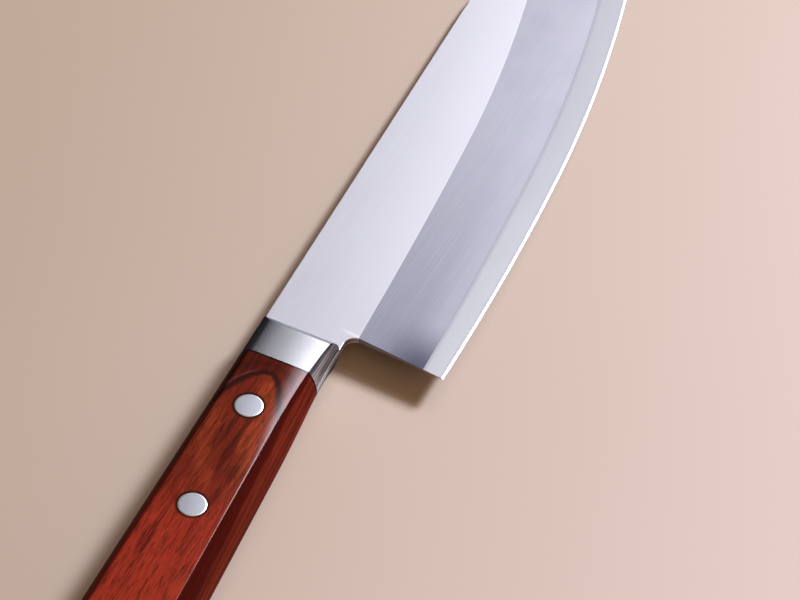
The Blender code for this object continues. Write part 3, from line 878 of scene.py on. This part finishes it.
class Finish(Wiring):
    """A material under construction on one Principled shader."""

    def __init__(self, name, **constants):
        super().__init__(bpy.data.materials.new(name), "Principled BSDF")
        self.feed(**constants)

    def place(self, scale=(1, 1, 1), turn=0.0):
        """The knife's own X, Y and Z in millimetres, turned about Z, and stretched by a scale."""
        where = self.node("ShaderNodeTexCoord", {}, {}, "Object")
        away = self.node("ShaderNodeVectorMath", {"operation": "SUBTRACT"}, (where, tuple(RESTING_PLACE)))
        turns = (0, -RESTING_TURN, turn)
        upright = self.node("ShaderNodeMapping", {}, (away, (0, 0, 0), turns, (1 / MM,) * 3))
        return self.node("ShaderNodeVectorMath", {"operation": "MULTIPLY"}, (upright, scale))

    def noise(self, scale, detail=2.0, roughness=0.5, distortion=0.0, turn=0.0):
        """Noise about 0 to 1, with scale cells to a millimetre in each direction."""
        names = ("Vector", "Scale", "Detail", "Roughness", "Distortion")
        values = (self.place(scale, turn), 1.0, detail, roughness, distortion)
        return self.node("ShaderNodeTexNoise", {"noise_dimensions": "3D"}, dict(zip(names, values)), "Fac")

    def attribute(self, name):
        return self.node("ShaderNodeAttribute", {"attribute_name": name}, {}, "Vector")

    def from_rivet(self):
        """Distance to the axis of the nearest rivet in millimetres."""
        x, y, _ = self.parts(self.place())
        offsets = [(x - along, y - up) for along, up in (rivet_centres() / MM).tolist()]
        near = [(along * along + up * up) ** 0.5 for along, up in offsets]
        return near[0].least(near[1]).least(near[2])

    def facing(self):
        """The three numbers of the surface's direction."""
        return self.parts(self.node("ShaderNodeNewGeometry", {}, {}, "Normal"))

    def bump(self, height, distance, strength):
        return self.node("ShaderNodeBump", {}, {"Strength": strength, "Distance": distance, "Height": height})


def tone(red, green, blue):
    """A colour given as a screen shows it, 0 to 255, as the light it stands for."""
    parts = [c / 255 for c in (red, green, blue)]
    parts = [c / 12.92 if c <= 0.04045 else ((c + 0.055) / 1.055) ** 2.4 for c in parts]
    return (*parts, 1.0)


# Depth of the marks that the bumps stand for
BRUSH_DEPTH = 0.008 * MM
SCRATCH_DEPTH = 0.006 * MM
BUFFED_DEPTH = 0.02 * MM
PORE_DEPTH = 0.02 * MM


def cladding_finish():
    """Soft steel: a brushed flat above the ridge, and a satin bevel that greys towards the heel."""
    finish = Finish("cladding_steel", metallic=1.0)
    _, from_clad, from_ridge = finish.parts(finish.attribute("ground"))
    x, _, _ = finish.parts(finish.place())
    above = from_ridge.step(-0.08, 0.08)
    long_streaks = finish.noise((0.04, 2.6, 1), 3, 0.6, turn=0.05)
    fine_streaks = finish.noise((0.25, 9.0, 1), 2, 0.6, turn=0.03)
    clouds = finish.noise((0.06, 0.09, 0.1), 3, 0.55)
    brushed = long_streaks * 0.6 + fine_streaks * 0.4
    flat = finish.layers(
        (235, 232, 235),
        # Painted reflection: the flat is darker towards the spine.
        (from_ridge.step(0.0, 22.0), (225, 223, 227)),
        (x.step(38.0, 0.0) * 0.5, (226, 223, 227)),
        (brushed.step(0.42, 0.66) * 0.5, (236, 235, 243)),
    )
    bevel = finish.layers(
        (179, 175, 180),
        ((x + clouds * 40.0).step(120.0, -10.0), (144, 141, 150)),
        (from_clad.step(9.0, 0.0) * 0.5, (188, 184, 189)),
        (clouds.step(0.35, 0.75) * 0.25, (150, 148, 162)),
        (long_streaks.step(0.4, 0.7) * 0.16, (198, 196, 208)),
        (x.step(16.0, 0.0) * from_clad.step(16.0, 2.0), (90, 90, 102)),
    )
    colour = finish.layers(
        bevel,
        (above, flat),
        (from_clad.band(0.0, 0.35) * 0.35, (120, 118, 130)),
        # Painted highlight along the flat's side of the ridge.
        (from_ridge.band(0.16, 0.22) * 0.35, (252, 251, 255)),
    )
    rough = 0.36 + (1 - above) * 0.06 + brushed * 0.06 + clouds * 0.04
    grain = above * brushed + (1 - above) * finish.noise((0.5, 0.5, 0.5), 4, 0.6) * 0.5
    return finish.feed(base_color=colour, roughness=rough, normal=finish.bump(grain, BRUSH_DEPTH, 0.35))


def core_finish():
    """Hard steel: a pale satin strip with fine scratches across it, and a bright cutting bevel."""
    finish = Finish("core_steel", metallic=1.0)
    from_edge, from_clad, _ = finish.parts(finish.attribute("ground"))
    x, _, _ = finish.parts(finish.place())
    scratches = finish.noise((6.0, 0.5, 1), 3, 0.6)
    clouds = finish.noise((0.08, 0.1, 0.1), 2, 0.5)
    end = EDGE_BEVEL_WIDTH / MM
    cutting = from_edge.step(end + 0.06, end - 0.06)
    colour = finish.layers(
        (174, 174, 176),
        ((x + clouds * 30.0).step(125.0, 0.0), (197, 196, 197)),
        (scratches.step(0.3, 0.8) * 0.2, (164, 163, 172)),
        (from_clad.step(-1.2, 0.0) * 0.4, (140, 138, 150)),
        (from_edge.step(1.3, 0.6) * 0.3, (150, 148, 158)),
        (cutting, (176, 175, 179)),
    )
    rough = 0.34 + scratches * 0.08 - cutting * 0.06
    return finish.feed(base_color=colour, roughness=rough, normal=finish.bump(scratches, SCRATCH_DEPTH, 0.3))


def bolster_finish():
    """Buffed stainless steel, with the belly and back left in lengthwise brush marks."""
    finish = Finish("bolster_steel", metallic=1.0, specular_tint=tone(84, 86, 98))
    _, y, z = finish.parts(finish.place())
    _, facing_y, facing_z = finish.facing()
    level = facing_z.size().step(0.9, 0.985)
    brushed = finish.noise((0.1, 3.2, 3.2), 3, 0.6)
    haze = finish.noise((0.3, 0.3, 0.3), 3, 0.5)
    # The buffed flat, with a painted reflection: bluer and then darker towards the spine.
    buffed_and_painted_reflection = finish.layers(
        (252, 252, 255),
        (y.step(30.0, 35.0), (244, 250, 255)),
        (haze.step(0.3, 0.75) * 0.3, (228, 234, 246)),
        (y.step(38.5, 44.0) * 0.9, (154, 162, 186)),
    )
    belly = finish.layers(
        (150, 150, 168),
        (brushed.step(0.38, 0.62), (250, 252, 255)),
        # Painted reflections: a dark band under the arris, and the shaded floor low on the belly.
        (z.size().step(4.4, 5.6) * 0.8, (54, 54, 66)),
        (z.step(1.6, -1.0) * 0.7, (92, 84, 84)),
    )
    # Painted shade on the back, which faces away from the light.
    back = facing_y.step(0.08, 0.5)
    colour = finish.layers(buffed_and_painted_reflection, (facing_y.step(-0.2, -0.45), belly), (back * 0.8, (66, 66, 76)))
    rough = 0.215 + haze * 0.03 + (1 - level) * (0.1 + brushed * 0.12)
    grain = brushed * (1 - level) + haze * 0.1
    return finish.feed(base_color=colour, roughness=rough, normal=finish.bump(grain, BUFFED_DEPTH, 0.4))


def rivet_finish():
    """Satin rivet heads with fine straight sanding marks, and a painted highlight round the rim."""
    finish = Finish("rivet_steel", metallic=1.0)
    marks = finish.noise((0.4, 7.0, 1), 3, 0.6, turn=0.5)
    haze = finish.noise((0.25, 0.25, 0.25), 2, 0.5)
    colour = finish.layers(
        (218, 221, 231),
        (haze.step(0.3, 0.7), (226, 227, 234)),
        (marks.step(0.4, 0.8) * 0.2, (204, 206, 218)),
        # Painted highlight round the rim.
        (finish.from_rivet().step(2.95, 3.3) * 0.9, (255, 252, 253)),
    )
    rough = 0.3 + marks * 0.1
    return finish.feed(base_color=colour, roughness=rough, normal=finish.bump(marks, SCRATCH_DEPTH, 0.4))


# Longer figure in the wood's face, in millimetres: where, half length, half width and strength
DARK_FIGURE = (
    (-47.0, 33.8, 8.0, 1.0, 0.9),
    (-40.5, 36.6, 6.0, 0.9, 0.8),
    (-44.5, 38.2, 5.0, 0.6, 0.5),
    (-53.0, 30.0, 3.5, 1.0, 0.7),
    (-61.0, 30.6, 3.5, 1.0, 0.7),
    (-66.0, 36.4, 6.0, 0.8, 0.6),
    (-72.0, 31.0, 6.0, 0.8, 0.5),
    (-79.0, 39.2, 6.0, 1.3, 0.8),
    (-62.0, 40.4, 9.0, 0.6, 0.5),
)
WARM_FIGURE = (
    (-41.0, 31.4, 6.0, 1.7, 0.8),
    (-58.0, 34.6, 4.0, 1.7, 0.4),
    (-27.5, 33.4, 5.0, 2.2, 0.9),
    (-34.0, 31.0, 6.0, 1.2, 0.8),
    (-51.0, 38.6, 5.0, 1.3, 0.5),
    (-47.0, 29.0, 14.0, 0.8, 0.8),
)


def wood_finish():
    """Oiled and polished red wood: growth rings that close in an arch near the bolster, streaks and pores.

    The rings are distances from a parabola that opens towards the butt, bent by noise. On the belly the
    laminations, which lie parallel to the faces, show as lengthwise stripes.
    """
    finish = Finish("handle_wood", coat_roughness=0.055, coat_ior=2.0, ior=1.02)
    x, y, z = finish.parts(finish.place())
    _, facing_y, facing_z = finish.facing()
    level = facing_z.size().step(0.93, 0.985)
    wander = finish.noise((0.045, 0.1, 0.12), 2, 0.5) - 0.5
    ripple = finish.noise((0.16, 0.5, 0.5), 3, 0.6) - 0.5
    streaks = finish.noise((0.05, 1.1, 1.6), 4, 0.62, 0.4)
    fine = finish.noise((0.11, 4.0, 4.0), 3, 0.65)
    broad = finish.noise((0.03, 0.2, 0.3), 2, 0.5)
    flecks = finish.noise((0.2, 2.3, 2.3), 3, 0.6).step(0.5, 0.64)
    threads = finish.noise((0.16, 5.0, 5.0), 2, 0.5).step(0.34, 0.56) * 0.75 + 0.25
    pores = finish.noise((0.3, 4.5, 4.5), 1, 0.4).step(0.64, 0.76)
    red, orange, rear, glow = (122, 38, 22), (152, 56, 29), (196, 58, 38), (186, 74, 36)
    deep, dark, crimson = (70, 14, 8), (34, 8, 12), (142, 26, 18)

    aside = y - ARCH_TOP[1] + wander * 2.0
    inside = ARCH_TOP[0] - x - aside * aside / ARCH_OPENING
    steep = (aside * aside * (4 / ARCH_OPENING**2) + 1) ** 0.5
    ring = inside / steep + ripple * 0.9
    ahead = ring.step(0.2, -0.8)

    figure = []
    ragged = streaks * 1.2 + fine * 2.6 - 1.9
    for places, tint in ((WARM_FIGURE, glow), (DARK_FIGURE, deep)):
        for along, across, length, width, strength in places:
            off = ((x - along) / length) ** 2 + ((y - across) / width) ** 2
            figure.append(((off + ragged).step(1.2, 0.4) * threads * strength, tint))
    face = finish.layers(
        red,
        (broad.step(0.35, 0.7), orange),
        (x.step(-52.0, -74.0) * 0.7, rear),
        *figure,
        (ring.band(1.6, 3.2) * y.step(34.5, 36.0) * 0.7, red),
        (ahead * y.step(30.0, 35.0) * 0.9, (60, 13, 6)),
        (threads * streaks.step(0.52, 0.34) * 0.5, crimson),
        (streaks.step(0.5, 0.72) * 0.75, deep),
        (ring.band(-2.6, 0.9) * 0.4, dark),
        ((ring + ripple).band(0.3, 1.3) * 0.5, dark),
        (ring.band(0.0, 1.2) * 0.95, dark),
        (ring.band(-0.85, 0.4) * y.step(37.5, 40.0) * 0.45, (150, 70, 66)),
        (streaks.step(0.64, 0.85) * 0.7, dark),
        (flecks * 0.6, deep),
        (fine.step(0.4, 0.75) * 0.4, deep),
        (pores * 0.7, dark),
    )
    edgewise = z.size() + wander * 2.4 - x.step(-70.0, -42.0) * 0.4 - x.step(-38.0, -30.0) * 0.4
    belly = finish.layers(
        (116, 40, 24),
        (finish.noise((0.01, 0.3, 1.1), 3, 0.6).step(0.4, 0.62), (88, 24, 12)),
        (edgewise.band(2.6, 0.7) * 0.6, (78, 18, 8)),
        (streaks.step(0.52, 0.7) * x.step(-60.0, -25.0) * 0.7, (150, 34, 24)),
        # Painted reflection: a dark band under the arris.
        (edgewise.step(4.6, 5.3) * 0.85, (62, 10, 7)),
        (fine.step(0.45, 0.8) * 0.4, (50, 8, 4)),
        (pores * 0.5, dark),
    )
    joint = WOOD_FRONT / MM
    colour = finish.layers(
        face,
        (facing_y.step(-0.2, -0.42), belly),
        # Painted shade on the back, which faces away from the light.
        (facing_y.step(0.1, 0.5) * 0.75, (26, 6, 4)),
        # Painted shade round each rivet head, where the gap to the wood lies in shadow.
        (finish.from_rivet().step(4.4, 3.7) * 0.8, (22, 8, 8)),
        (x.step(joint - 0.75, joint - 0.2) * 0.9, (26, 10, 12)),
    )
    height = 1 - pores * 0.6 - fine * 0.2
    finish.feed(base_color=colour, roughness=0.4 + fine * 0.2, coat_weight=0.04 + level * 0.96)
    return finish.feed(normal=finish.bump(height, PORE_DEPTH, 0.3))


def floor_finish():
    """A plain pale floor, matt, with a painted falloff of light: a little darker beyond the spine than before
    the edge.
    """
    finish = Finish("pale_floor", roughness=0.7, specular_ior_level=0.2)
    clouds = finish.noise((0.004, 0.004, 0.004), 2, 0.5) - 0.5
    _, y, _ = finish.parts(finish.place())
    # Painted falloff of light across the floor.
    colour = finish.mix((y + clouds * 60.0).step(165.0, -165.0), (202, 174, 149), (241, 213, 196))
    return finish.feed(base_color=colour)


# ---- the scene ----

CAMERA_PLACE = (-0.5574762, -0.2363900, 0.7703168)
CAMERA_TURN = (0.7997409, 0.2678560, -0.1875662, -0.5034746)
LENS, SENSOR_WIDTH, NEAREST_SEEN = 180.0, 36.0, 0.05
FLOOR_SIZE, FLOOR_LINES = 6.0, 9
KEY_DIRECTION, KEY_DISTANCE, KEY_POWER, KEY_SIZE = (0.71, -0.37, 0.60), 2.2, 50.0, 0.44
KEY_COLOUR = (0.93, 1.08, 1.32)
SKY_LIGHT, SKY_SHADE, SKY_SEEN = 0.33, 0.07, 0.85
SKY_COLOUR = (1.0, 0.74, 0.48, 1.0)
SKY_LIT_SIDE, SKY_DIM_SIDE = -0.15, 0.30

# The soft panel: where its middle stands, its size and brightness, and how it fades out, from a lit to an
# unlit place: on the right, and over its upper right corner, aslant by a slope.
PANEL_DIRECTION, PANEL_DISTANCE, PANEL_SHIFT = (0.716, -0.069, 0.695), 2.6, (-0.005, 0.06)
PANEL_SIZE, PANEL_RADIANCE = (1.69, 0.84), 3.0
PANEL_RIGHT, PANEL_CORNER, PANEL_SLOPE = (0.689, 0.826), (0.761, 0.779), 0.5
PANEL_COLOUR = (1.01, 1.01, 1.12)


def make_camera():
    """The camera at the photograph's viewing angle."""
    lens = bpy.data.cameras.new("camera")
    lens.lens, lens.sensor_width, lens.clip_start = LENS, SENSOR_WIDTH, NEAREST_SEEN
    camera = placed("camera", lens)
    camera.rotation_mode = "QUATERNION"
    camera.location, camera.rotation_quaternion = CAMERA_PLACE, Quaternion(CAMERA_TURN)
    bpy.context.scene.camera = camera


def make_lamp(name, direction, distance, size, power, shift=(0.0, 0.0)):
    """A rectangular lamp that faces the knife, its long side level, moved to the right and up by a shift."""
    light = bpy.data.lights.new(name, "AREA")
    light.shape, light.energy = "RECTANGLE", power
    light.size, light.size_y = size
    lamp = placed(name, light)
    turn = Vector(direction).to_track_quat("Z", "Y")
    lamp.location = Vector(direction).normalized() * distance + turn @ Vector((*shift, 0.0))
    lamp.rotation_euler = turn.to_euler()
    return light


def make_panel():
    """The soft panel over the blade's tip, which fades out on the right and over its upper right corner."""
    width, height = PANEL_SIZE
    power = math.pi * PANEL_RADIANCE * width * height
    light = make_lamp("soft_panel", PANEL_DIRECTION, PANEL_DISTANCE, PANEL_SIZE, power, PANEL_SHIFT)
    light.color = PANEL_COLOUR
    wiring = Wiring(light, "Emission")
    across, up, _ = wiring.parts(wiring.node("ShaderNodeNewGeometry", {}, {}, "Parametric"))
    right = (across - 0.5) * width + PANEL_SHIFT[0]
    high = (up - 0.5) * height + PANEL_SHIFT[1]
    on_right = right.step(*PANEL_RIGHT[::-1])
    wiring.feed(strength=on_right * (right * PANEL_SLOPE + high).step(*PANEL_CORNER[::-1]))


def make_world():
    """Soft light from the whole room: bright on the edge's side of the knife and dim on the spine's side."""
    world = bpy.data.worlds.new("room")
    bpy.context.scene.world = world
    wiring = Wiring(world, "Background")
    _, aside, _ = wiring.parts(wiring.node("ShaderNodeTexCoord", {}, {}, "Generated"))
    soft = aside.step(SKY_DIM_SIDE, SKY_LIT_SIDE) * (SKY_LIGHT - SKY_SHADE) + SKY_SHADE
    seen = wiring.node("ShaderNodeLightPath", {}, {}, "Is Camera Ray")
    wiring.feed(color=SKY_COLOUR, strength=wiring.node("ShaderNodeMix", {}, {0: seen, 2: soft, 3: SKY_SEEN}))


def make_floor():
    """A wide floor under the knife, as a grid that rises nowhere."""
    line = np.linspace(-FLOOR_SIZE / 2, FLOOR_SIZE / 2, FLOOR_LINES)
    x, y = np.meshgrid(line, line, indexing="ij")
    index = np.arange(x.size).reshape(x.shape)
    mesh = bpy.data.meshes.new("floor")
    mesh.from_pydata(joined(x, y, 0.0).reshape(-1, 3).tolist(), [], grid_quads(index).tolist())
    mesh.materials.append(floor_finish())
    floor = placed("floor", mesh)


def stand_for(piece, node):
    """Lets a finished piece ride on the knife in the place of its CAD node."""
    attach(piece, "root")
    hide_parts(node)


def main():
    scene = bpy.context.scene
    scene.view_settings.view_transform = "Standard"
    make_camera()
    make_world()
    make_floor()
    make_lamp("window_lamp", KEY_DIRECTION, KEY_DISTANCE, (KEY_SIZE, KEY_SIZE), KEY_POWER).color = KEY_COLOUR
    make_panel()
    cladding, bolster, rivet = cladding_finish(), bolster_finish(), rivet_finish()
    stand_for(make_core(core_finish()), "blade_core")
    sides = (("right", 1), ("left", -1))
    for word, side in sides:
        stand_for(make_cladding("ground_sheet_" + word, side, cladding), "cladding_" + word)
    for word, side in sides:
        stand_for(make_cheek("polished_cheek_" + word, side, bolster), "bolster_" + word)
    stand_for(make_wood(wood_finish()), "handle_wood")
    for place, centre in zip(("front", "middle", "rear"), rivet_centres()):
        tube, pin = make_rivet(place, centre, rivet)
        stand_for(tube, "rivet_tube_" + place)
        stand_for(pin, "rivet_pin_" + place)


main()
bpy.context.view_layer.update()
